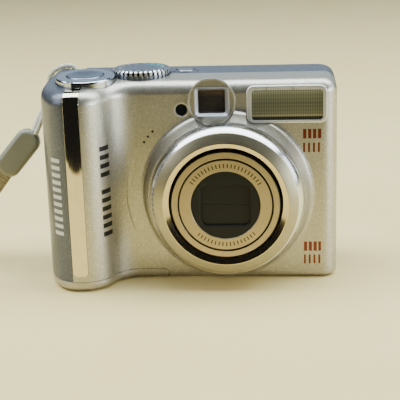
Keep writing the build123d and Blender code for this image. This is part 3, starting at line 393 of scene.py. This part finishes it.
def barrel_face(name, gap_shade_r, tick_r=None):
    """Turned barrel front with painted shade round its outer edge, a dark band that stands in for the shaded gap
    beside it, and printed ticks round two arcs of it.
    """
    look = Look(name, edge=0.15, Metallic=0.95)
    x, y, z = look.xyz()
    radius, angle = look.polar(x, z, LENS)
    smear = look.noise(0.3)
    tone = look.mottled(BARREL_GOLD, scaled(BARREL_GOLD, 0.88), 0.5, smear, 0.35, 0.75)
    if tick_r:
        upper = look.between(angle, 0.55, 2.6, soft=0.01)
        lower = look.between(angle, -2.35, -0.8, soft=0.01)
        ring = look.between(radius, *tick_r, soft=0.05)
        ticks = look.beats(angle, 0.093, 0.36)
        tone = look.over(tone, look.both(look.either(upper, lower), ring, ticks), (0.075, 0.055, 0.035))
    tone = look.over(tone, look.worn(), scaled(BARREL_GOLD, 1.5), share=0.4)
    # painted shade: the outer edge of the face is darkened to widen the dark gap between the barrels
    rim = look.between(radius, gap_shade_r, gap_shade_r + 2.0, soft=0.05)
    line = look.both(rim, look.span(y, 1.0, 0.0, -20.5, -20.3))
    look.colour(look.over(tone, line, (0.012, 0.011, 0.010)))
    fine = look.noise(2.0, detail=2.0)
    look.rough(look.span(fine, 0.30, 0.42, 0.3, 0.7))
    look.bump(fine, strength=0.06, distance=0.02)
    return look.material


def finder_bezel():
    """Painted disc with a lighter rim and a greyer frame round its window."""
    look, tone, roughness = paint_look("finder_bezel_paint", CHAMPAGNE, flake=0.12)
    x, _, z = look.xyz()
    half_width, below, above = 5.35, 4.85, 4.65
    window_frame = look.both(look.between(x, FINDER[0] - half_width, FINDER[0] + half_width),
                             look.between(z, FINDER[1] - below, FINDER[1] + above))
    radius, _ = look.polar(x, z, FINDER)
    rim = look.between(radius, 6.9, 8.0, soft=0.05)
    tone = look.over(tone, window_frame, (0.50, 0.50, 0.54))
    look.colour(look.over(tone, rim, (0.62, 0.60, 0.52), share=0.6))
    look.rough(roughness)
    return look.material


def flash_glass():
    """Ribbed flash window over its reflector: olive, with fine uprights, a gold line and a dark foot."""
    look = Look("flash_glass", edge=0.05, Coat_Weight=0.6, Coat_Roughness=0.06, IOR=1.5, Metallic=0.35)
    x, _, z = look.xyz()
    half_height = 4.7
    z_low, z_high = FLASH[1] - half_height, FLASH[1] + half_height
    height = look.span(z, 0.0, 1.0, z_low, z_high)
    tone = look.ramp(height, (0.0, (0.02, 0.02, 0.018)), (0.10, (0.06, 0.055, 0.04)),
                     (0.15, (0.60, 0.55, 0.28)), (0.20, (0.27, 0.26, 0.15)), (0.55, (0.21, 0.215, 0.14)),
                     (0.86, (0.34, 0.34, 0.22)), (0.93, (0.50, 0.50, 0.38)), (1.0, (0.20, 0.20, 0.15)))
    rib_pitch, row_pitch = 0.7, 1.15
    ribs = look.beats(x, rib_pitch, 0.5, FLASH[0] - rib_pitch / 4)
    tone = look.over(tone, ribs, (0.05, 0.05, 0.035), share=0.38)
    rows = look.beats(z, row_pitch, 0.16, z_low)
    look.colour(look.over(tone, rows, (0.60, 0.60, 0.42), share=0.22))
    look.rough(look.span(look.noise(1.5), 0.12, 0.25))
    look.bump(ribs, strength=0.4)
    return look.material


def dial_face():
    """Dial: grey top with a teal sector and small marks, and a rim with painted highlights on each tooth and
    painted shade between them, over a grey foot.
    """
    look = Look("dial_metal", edge=0.05, Metallic=0.9)
    x, y, z = look.xyz()
    radius, angle = look.polar(x, y, DIAL)
    top = look.both(look.span(radius, 1.0, 0.0, 8.3, 8.5), look.span(z, 0.0, 1.0, 65.9, 65.96))
    sector = look.both(look.between(angle, 0.15, 1.45, soft=0.01), look.between(radius, 4.6, 8.0, soft=0.05))
    marks = look.both(look.beats(angle, math.pi / 8, 0.35, -0.5), look.between(radius, 6.3, 7.2, soft=0.05))
    face = look.mottled((0.105, 0.12, 0.155), (0.08, 0.092, 0.118), 0.5, look.noise(0.5), 0.3, 0.7)
    face = look.over(face, sector, (0.02, 0.22, 0.27))
    face = look.over(face, marks, (0.60, 0.63, 0.66), share=0.75)
    # painted highlight and shade: the rim is light on each tooth and dark between them, standing in for light
    # caught on the knurl
    tooth = math.pi / 18
    knurl_shade_mask = look.beats(angle, tooth, 0.5, -tooth / 4)
    knurl_highlights_and_shade = look.mixed(knurl_shade_mask, (0.78, 0.80, 0.82), (0.02, 0.02, 0.022))
    rim = look.over(knurl_highlights_and_shade, look.span(z, 1.0, 0.0, 64.5, 64.7), (0.26, 0.285, 0.32))
    look.colour(look.mixed(top, rim, face))
    look.metallic(look.span(top, 1.0, 0.6))
    look.rough(look.span(look.noise(0.6, detail=2.0), 0.26, 0.36, 0.3, 0.7))
    return look.material


def rear_paint():
    """Graphite paint for the rear shell, with plain light marks beside its keys."""
    look, tone, roughness = paint_look("graphite_paint", (0.125, 0.14, 0.168), flake=0.18, metallic=0.75,
                                      rough=0.40, coat=0.05)
    x, y, z = look.xyz()
    back = look.span(y, 0.0, 1.0, 19.5, 19.9)
    half_length, half_height = 1.1, 0.25
    masks = []
    for mark_x, mark_z in ((-17.9, 55.6), (-17.9, 47.1), (-38.2, 21.3), (-28.2, 21.3), (-33.0, 42.2)):
        masks.append(look.both(look.between(x, mark_x - half_length, mark_x + half_length),
                               look.between(z, mark_z - half_height, mark_z + half_height, soft=0.05)))
    look.colour(look.over(tone, look.both(back, look.either(*masks)), (0.72, 0.73, 0.74)))
    look.rough(roughness)
    return look.material


def screen():
    """Anti-glare screen window: a black border round a slightly lighter, bluer panel."""
    look = Look("screen_window", edge=0.1, Specular_IOR_Level=0.3, Coat_Weight=0.15, Coat_Roughness=0.1)
    x, _, z = look.xyz()
    low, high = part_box("lcd_window")
    border = 2.6
    panel = look.both(look.between(x, low[0] / MM + border, high[0] / MM - border, soft=0.15),
                      look.between(z, low[2] / MM + border, high[2] / MM - border, soft=0.15))
    smear = look.noise(0.25, detail=4.0, rough=0.6)
    panel_tone = look.mottled((0.030, 0.034, 0.042), (0.020, 0.023, 0.030), 0.6, smear, 0.35, 0.7)
    look.colour(look.mixed(panel, (0.007, 0.007, 0.008), panel_tone))
    look.rough(look.span(smear, 0.16, 0.28, 0.35, 0.75))
    return look.material


def cell_sleeve():
    """Battery cells: a glossy green sleeve with a copper-coloured band, and bare steel ends."""
    look = Look("cell_sleeve", edge=0.1, Coat_Weight=0.3, Coat_Roughness=0.1)
    z = look.xyz()[2]
    low, high = (place[2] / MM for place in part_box("battery_cells"))
    foot, head, band_foot = 0.5, 1.6, 9.0       # bare foot, and distances down from the top
    ends = look.either(look.between(z, low - 1.0, low + foot, soft=0.05),
                       look.between(z, high - head, high + 1.0, soft=0.05))
    band = look.between(z, high - band_foot, high - head, soft=0.05)
    smear = look.noise(0.3, detail=4.0, rough=0.6)
    sleeve = look.mottled((0.025, 0.105, 0.05), (0.015, 0.075, 0.035), 0.6, smear, 0.35, 0.7)
    tone = look.over(sleeve, band, (0.42, 0.20, 0.07))
    look.colour(look.over(tone, ends, (0.56, 0.56, 0.57)))
    look.metallic(look.span(ends, 0.15, 1.0))
    look.rough(look.span(smear, 0.22, 0.34, 0.35, 0.75))
    return look.material


def mask_disc():
    """Matt black disc with a faint light line along the bevel of its window."""
    look = Look("barrier_black", edge=0.1, Specular_IOR_Level=0.25)
    fine = look.noise(5.0, rough=0.6)
    look.colour(look.over((0.007, 0.0075, 0.0075), look.worn(), (0.09, 0.10, 0.10), share=0.5))
    look.rough(look.span(fine, 0.38, 0.55, 0.3, 0.7))
    look.bump(fine, strength=0.15, distance=0.03)
    return look.material


def weave(name, base, dark, patches):
    """Woven thread: fine crossing fibres over a broken colour, with patches to the millimetre."""
    look = Look(name, edge=0.05, Sheen_Weight=0.35, Sheen_Roughness=0.45)
    fibres = look.noise(9.0, detail=4.0, rough=0.7, where=look.place((1, 1, 0.4), (20, 35, 10)))
    broken = look.noise(patches, rough=0.6)
    tone = look.ramp(fibres, (0.32, dark), (0.62, base), (0.85, scaled(base, 1.25)))
    look.colour(look.mottled(tone, scaled(dark, 1.1), 0.4, broken, 0.4, 0.7))
    look.rough(look.span(fibres, 0.72, 0.92, 0.3, 0.7))
    look.bump(fibres, strength=0.5, distance=0.08)
    return look.material


MATERIALS = {}


def make_materials():
    MATERIALS.update({
        "front": front_paint(),
        "bezel": paint("bezel_silver", (0.70, 0.69, 0.62), flake=0.06, metallic=0.55, rough=0.30, coat=0.4),
        "finder": finder_bezel(),
        "rear": rear_paint(),
        "grip": grip_paint(),
        "chrome": metal("bright_chrome", (0.68, 0.60, 0.45), rough=0.05, scratch=0.04),
        "ring": metal("zoom_ring_metal", (0.52, 0.56, 0.62), rough=0.14, edge=0.05),
        "polished": metal("polished_ring", (0.76, 0.76, 0.75), rough=0.20, scratch=0.04, turned=LENS),
        "satin": metal("satin_cone", (0.385, 0.345, 0.235), rough=0.37, turned=LENS),
        "mouth": metal("polished_mouth", (0.62, 0.53, 0.34), rough=0.12, turned=LENS),
        "barrel": barrel_face("barrel_gold", gap_shade_r=16.3),
        "inner_barrel": barrel_face("barrel_gold_printed", gap_shade_r=13.95, tick_r=(11.6, 12.9)),
        "mask": mask_disc(),
        "black": plastic("black_plastic", (0.018, 0.018, 0.018), rough=0.55),
        "blade": plastic("blade_black", (0.012, 0.0125, 0.012), rough=0.45, grain=0.15, size=6.0, specular=0.2),
        "board": plastic("board_green", (0.02, 0.16, 0.07), rough=0.35),
        "steel": metal("plated_steel", (0.55, 0.55, 0.56), rough=0.3),
        "brass": metal("spring_brass", (0.72, 0.55, 0.25), rough=0.25),
        "lamp": glass("lamp_window", (0.010, 0.010, 0.011)),
        "screen": screen(),
        "clear": glass("finder_glass", (0.40, 0.34, 0.26), rough=0.02, coat=0.4, through=0.92),
        "flash": flash_glass(),
        "rubber": plastic("grey_rubber", (0.09, 0.09, 0.095), rough=0.62, grain=0.35),
        "button": metal("button_metal", (0.40, 0.42, 0.45), rough=0.26),
        "key": metal("shutter_metal", (0.24, 0.28, 0.34), rough=0.28, scratch=0.06),
        "cells": cell_sleeve(),
        "card": plastic("card_blue", (0.02, 0.05, 0.14), rough=0.45),
        "gear": plastic("gear_white", (0.72, 0.71, 0.66), rough=0.45),
        "lens": glass("coated_lens", (0.03, 0.035, 0.06), rough=0.02),
        "dial": dial_face(),
        "cord": weave("strap_thread", (0.80, 0.79, 0.66), (0.50, 0.49, 0.37), patches=1.5),
        "connector": plastic("strap_plastic", (0.25, 0.245, 0.175), rough=0.42, grain=0.35, size=4.0, coat=0.3,
                             edge=0.6),
        "weave": weave("strap_weave", (0.45, 0.38, 0.22), (0.20, 0.155, 0.08), patches=0.8),
    })


SLOT_LOOKS = {
    "front_paint": "front", "rear_paint": "rear", "grip_grey": "grip", "mirror_chrome": "chrome",
    "satin_metal": "key", "dial_metal": "dial", "barrel_metal": "barrel", "clear_window": "clear",
    "dark_window": "lamp", "flash_lens": "flash", "lens_glass": "lens", "black_plastic": "black",
    "blade_black": "blade", "screw_steel": "steel", "spring_brass": "brass", "cell_wrap": "cells",
    "card_blue": "card", "grey_rubber": "rubber", "board_green": "board", "button_grey": "button",
    "gear_white": "gear", "strap_thread": "cord", "strap_plastic": "connector", "strap_weave": "weave",
}
NODE_LOOKS = {
    "flash_bezel": "bezel", "viewfinder_bezel": "finder", "barrel_2": "inner_barrel", "barrier_mask": "mask",
    "power_button": "button", "zoom_ring": "ring", "lcd_window": "screen",
}


def paint_nodes():
    """Give every CAD node the material of its slot, or its own."""
    for part in frame["record"]["subparts"]:
        node = NODES[part["node"]]
        look = NODE_LOOKS.get(part["node"], SLOT_LOOKS[part["material_slot"]])
        node.data.materials.clear()
        node.data.materials.append(MATERIALS[look])


# ================================================================ mesh helpers
def mesh_piece(name, points, faces, materials, zones=None):
    """Smooth-shaded mesh object from points in metres; zones gives each face its material's number."""
    mesh = bpy.data.meshes.new(name)
    mesh.from_pydata(points, [], faces)
    for material in materials:
        mesh.materials.append(material)
    for index, polygon in enumerate(mesh.polygons):
        polygon.use_smooth = True
        if zones:
            polygon.material_index = zones[index]
    piece = bpy.data.objects.new(name, mesh)
    SCENE.collection.objects.link(piece)
    return piece


def eased(points, steps=6):
    """Points of a smooth line through the given ones."""
    line = []
    padded = [points[0]] + list(points) + [points[-1]]
    for a, b, c, d in zip(padded, padded[1:], padded[2:], padded[3:]):
        for step in range(steps):
            t = step / steps
            line.append(tuple(
                0.5 * (2 * q + (r - p) * t + (2 * p - 5 * q + 4 * r - s) * t * t + (3 * q - p - 3 * r + s) * t ** 3)
                for p, q, r, s in zip(a, b, c, d)))
    return line + [points[-1]]


def lathe(name, runs, centre, materials, segments=192):
    """Closed turned piece about an axis along Y: runs of (radius, y) points in mm, each with a material number."""
    profile, kinds = [], []
    for line, kind in runs:
        profile += line
        kinds += [kind] * len(line)
    count = len(profile)
    points, faces, zones = [], [], []
    for turn in range(segments):
        angle = 2 * math.pi * turn / segments
        for radius, y in profile:
            x, z = centre[0] + radius * math.cos(angle), centre[1] + radius * math.sin(angle)
            points.append((x * MM, y * MM, z * MM))
    for turn in range(segments):
        here, after = turn * count, (turn + 1) % segments * count
        for i in range(count):
            j = (i + 1) % count
            faces.append((here + i, here + j, after + j, after + i))
            zones.append(kinds[i])
    return mesh_piece(name, points, faces, materials, zones)


def rounded(before, here, after, size, steps=4):
    """Short round between two straight runs of a profile, that starts and ends a size away from their corner."""
    def toward(point):
        run = math.dist(here, point)
        return tuple(h + (p - h) * size / run for h, p in zip(here, point))
    start, end = toward(before), toward(after)
    line = []
    for step in range(steps + 1):
        t = step / steps
        line.append(tuple((1 - t) ** 2 * s + 2 * t * (1 - t) * h + t * t * e for s, h, e in zip(start, here, end)))
    return line


# ================================================================ lens surround
def make_lens_ring():
    """Bright ring: polished rolled edge, turned cone and polished mouth. Profile points are (radius, y) in mm."""
    back, foot, face, mouth = (23.55, -12.65), (23.55, -14.7), (21.9, -19.8), (18.95, -21.28)
    bore, throat, inner, inner_back = (17.1, -20.45), (17.1, -19.2), (21.0, -18.6), (21.6, -12.65)
    rolled = eased([(23.6, -15.0), (23.72, -16.2), (23.35, -17.6), (22.75, -18.75), (22.15, -19.45)])
    polished, satin, lip = range(3)
    runs = [
        ([back], polished),
        (rounded(back, foot, rolled[0], 0.15), polished),
        (rolled, polished),
        (rounded(rolled[-1], face, mouth, 0.22), satin),
        (rounded(face, mouth, bore, 0.16), lip),
        (rounded(mouth, bore, throat, 0.18), lip),
        (rounded(bore, throat, inner, 0.2), lip),
        (rounded(throat, inner, inner_back, 0.3), polished),
        ([inner_back], polished),
    ]
    ring = lathe("lens_surround", runs, LENS, [MATERIALS[look] for look in ("polished", "satin", "mouth")])
    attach(ring, "camera")
    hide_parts("lens_ring")


# ================================================================ wrist strap
CORD_ROUTE = [
    (-0.0519, 0.0103, 0.0432), (-0.0493, 0.0120, 0.0490), (-0.0476, 0.0132, 0.0548), (-0.0472, 0.0138, 0.0604),
    (-0.0458, 0.0142, 0.0633), (-0.0424, 0.0146, 0.0650), (-0.0387, 0.0146, 0.0652), (-0.0374, 0.0145, 0.0618),
    (-0.0373, 0.0169, 0.0581), (-0.0380, 0.0206, 0.0596), (-0.0426, 0.0232, 0.0586), (-0.0476, 0.0204, 0.0550),
    (-0.0512, 0.0148, 0.0490), (-0.0535, 0.0120, 0.0426),
]
BAND_ROUTE = [
    (-0.0630, 0.0094, 0.0313), (-0.0692, 0.0080, 0.0238), (-0.0772, 0.0050, 0.0138), (-0.0880, -0.0010, 0.0052),
    (-0.1015, -0.0092, 0.0017), (-0.1190, -0.0156, 0.0017), (-0.1370, -0.0152, 0.0017), (-0.1500, -0.0060, 0.0017),
    (-0.1528, 0.0095, 0.0017), (-0.1445, 0.0228, 0.0017), (-0.1290, 0.0284, 0.0017), (-0.1120, 0.0268, 0.0017),
    (-0.0975, 0.0218, 0.0022), (-0.0855, 0.0186, 0.0065), (-0.0758, 0.0163, 0.0147), (-0.0690, 0.0142, 0.0238),
    (-0.0632, 0.0130, 0.0313),
]
SPLINE_DETAIL = 24        # points that Blender works out for each control point
CORD_DIAMETER = 0.0016
CORD_PLAIT = 0.0022       # length of one crossing of the plait
CORD_STEP = 0.00024       # from one ring of the cord's mesh to the next
CORD_SIDES = 20           # points in each ring
CORD_STRANDS = 4          # in each of the two crossing sets
CORD_CORE, CORD_RELIEF = 0.92, 0.09     # mean radius and the strands' relief, as shares of the cord's radius
BAND_WIDTH = 0.0062
BAND_THICK = 0.0016
BAND_RIB = 0.0012         # pitch of the ribs of the weave
RIB_RINGS = 6             # rings of the band's mesh in each rib
RIB_RELIEF = 0.10         # half the thickness that is missing between two ribs, as a share
RIB_INSET = 0.015         # half the width that is missing there
UPRIGHT_Z = 0.021         # the band stands on edge above this height
TURNING_DROP = 0.015      # and lies flat this far below it
BAND_SINK = 0.0008        # brings the lying band down to the floor


def route_line(name, points, step):
    """Evenly spaced points of a smooth open spline that has the route's points as its control points."""
    data = bpy.data.curves.new(name, "CURVE")
    data.dimensions = "3D"
    data.resolution_u = SPLINE_DETAIL
    spline = data.splines.new("NURBS")
    spline.points.add(len(points) - 1)
    for point, place in zip(spline.points, points):
        point.co = (*place, 1.0)
    spline.order_u = 3
    spline.use_endpoint_u = True
    curve = bpy.data.objects.new(name, data)
    mesh = bpy.data.meshes.new_from_object(curve)
    line = [vertex.co.copy() for vertex in mesh.vertices]
    bpy.data.objects.remove(curve)
    bpy.data.curves.remove(data)
    bpy.data.meshes.remove(mesh)
    travelled = [0.0]
    for before, after in zip(line, line[1:]):
        travelled.append(travelled[-1] + (after - before).length)
    count = round(travelled[-1] / step)
    spaced, run = [], 0
    for index in range(count + 1):
        wanted = travelled[-1] * index / count
        while run < len(line) - 2 and travelled[run + 1] < wanted:
            run += 1
        share = (wanted - travelled[run]) / (travelled[run + 1] - travelled[run])
        spaced.append(line[run].lerp(line[run + 1], min(1.0, share)))
    return spaced


def directions(line):
    """Unit direction of travel at each point."""
    ends = [line[0]] + line + [line[-1]]
    return [(after - before).normalized() for before, after in zip(ends, ends[2:])]


def skin(rings):
    """Points and faces of a closed tube whose rings all have the same number of points."""
    around = len(rings[0])
    points = [tuple(point) for ring in rings for point in ring]
    faces = []
    for i in range(len(rings) - 1):
        for j in range(around):
            k = (j + 1) % around
            faces.append((i * around + j, i * around + k, (i + 1) * around + k, (i + 1) * around + j))
    faces.append(tuple(reversed(range(around))))
    faces.append(tuple(range(len(points) - around, len(points))))
    return points, faces


def make_cord():
    """Thin plaited cord: a tube with two sets of crossing strands raised on it."""
    line = route_line("cord_line", CORD_ROUTE, CORD_STEP)
    ways = directions(line)
    side = ways[0].orthogonal().normalized()
    rings, travelled = [], 0.0
    for index, (point, way) in enumerate(zip(line, ways)):
        if index:
            travelled += (point - line[index - 1]).length
        side = (side - way * side.dot(way)).normalized()
        other = way.cross(side)
        phase = 2 * math.pi * travelled / CORD_PLAIT
        ring = []
        for j in range(CORD_SIDES):
            angle = 2 * math.pi * j / CORD_SIDES
            turn = CORD_STRANDS * angle
            strands = max(math.cos(turn + phase), math.cos(turn - phase))
            radius = CORD_DIAMETER / 2 * (CORD_CORE + CORD_RELIEF * strands)
            ring.append(point + side * (radius * math.cos(angle)) + other * (radius * math.sin(angle)))
        rings.append(ring)
    points, faces = skin(rings)
    cord = mesh_piece("wrist_cord", points, faces, [MATERIALS["cord"]])
    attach(cord, "camera")
    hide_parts("strap_cord")


def band_section(width, thick):
    """A flat section with round ends, as (across, out) pairs."""
    end_r = thick / 2
    flat = width / 2 - end_r
    end_steps, flat_shares = 6, (0.6, 0.2, -0.2, -0.6)
    section = []
    for side in (1, -1):
        for step in range(end_steps + 1):
            angle = side * math.pi / 2 - math.pi * step / end_steps
            section.append((side * flat + end_r * math.cos(angle), end_r * math.sin(angle)))
        section += [(side * share * flat, -side * end_r) for share in flat_shares]
    return section


def make_band():
    """Flat ribbed band: upright beside its other leg at the connector, flat where it lies."""
    line = route_line("band_line", BAND_ROUTE, BAND_RIB / RIB_RINGS)
    ways = directions(line)
    section = band_section(BAND_WIDTH, BAND_THICK)
    rings = []
    for index, (point, way) in enumerate(zip(line, ways)):
        lying = max(0.0, min(1.0, (UPRIGHT_Z - point.z) / TURNING_DROP))
        lying = lying * lying * (3 - 2 * lying)
        facing = Vector((0.0, -1.0, 0.0)) if index < len(line) / 2 else Vector((0.0, 1.0, 0.0))
        out = facing.lerp(Vector((0.0, 0.0, 1.0)), lying)
        out = (out - way * out.dot(way)).normalized()
        across = out.cross(way)
        rib = math.cos(2 * math.pi * index / RIB_RINGS)
        swell, spread = 1 - RIB_RELIEF * (1 - rib), 1 - RIB_INSET * (1 - rib)
        sink = Vector((0.0, 0.0, -BAND_SINK * lying))
        rings.append([point + sink + across * (u * spread) + out * (v * swell) for u, v in section])
    points, faces = skin(rings)
    band = mesh_piece("wrist_band", points, faces, [MATERIALS["weave"]])
    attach(band, "camera")
    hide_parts("strap_band")


# ================================================================ studio
FLOOR_FRONT = -0.165      # the floor's near edge; the dark beyond it is what the polished pieces reflect
FLOOR_SIDE = FLOOR_BACK = 2         # metres
LIGHT_AIM = (0, 0, 0.03)
LIGHTS = [                # name, place, size, watts, colour
    ("overhead", (0.0, 0.08, 0.75), (2.0, 0.5), 29.0, (0.84, 0.94, 1.0)),
    ("right", (1.1, 0.0, 0.34), (0.8, 0.5), 4.0, (0.88, 0.95, 1.0)),
    ("right_low", (0.84, -0.38, 0.12), (0.5, 0.2), 5.0, (0.84, 0.93, 1.0)),
    ("front_left", (-0.62, -0.30, 0.40), (0.40, 0.40), 2.0, (0.94, 0.97, 1.0)),
    ("behind", (0.1, 1.3, 0.62), (2.4, 0.9), 5.0, (0.66, 0.83, 1.0)),
]
STUDIO_GREY, STUDIO_STRENGTH = (0.50, 0.50, 0.52), 0.035


def make_floor():
    mesh = bpy.data.meshes.new("floor")
    corners = [(-FLOOR_SIDE, FLOOR_FRONT, 0), (FLOOR_SIDE, FLOOR_FRONT, 0),
               (FLOOR_SIDE, FLOOR_BACK, 0), (-FLOOR_SIDE, FLOOR_BACK, 0)]
    mesh.from_pydata(corners, [], [(0, 1, 2, 3)])
    floor = bpy.data.objects.new("floor", mesh)
    SCENE.collection.objects.link(floor)
    look = Look("pale_floor", Roughness=0.5)
    grain = look.noise(0.02)
    look.colour(look.ramp(grain, (0.3, (0.84, 0.66, 0.27)), (0.7, (0.87, 0.70, 0.31))))
    mesh.materials.append(look.material)


def area_light(name, place, size, power, colour):
    data = bpy.data.lights.new(name, "AREA")
    data.shape = "RECTANGLE"
    data.size, data.size_y = size
    data.energy = power
    data.color = colour
    lamp = bpy.data.objects.new(name, data)
    SCENE.collection.objects.link(lamp)
    lamp.location = place
    lamp.rotation_mode = "QUATERNION"
    lamp.rotation_quaternion = (Vector(LIGHT_AIM) - Vector(place)).to_track_quat("-Z", "Y")


def make_lights():
    for light in LIGHTS:
        area_light(*light)
    world = bpy.data.worlds.new("studio")
    world.use_nodes = True
    background = world.node_tree.nodes["Background"]
    background.inputs["Color"].default_value = (*STUDIO_GREY, 1.0)
    background.inputs["Strength"].default_value = STUDIO_STRENGTH
    SCENE.world = world


make_camera()
make_materials()
paint_nodes()
make_cord()
make_band()
make_lens_ring()
make_floor()
make_lights()
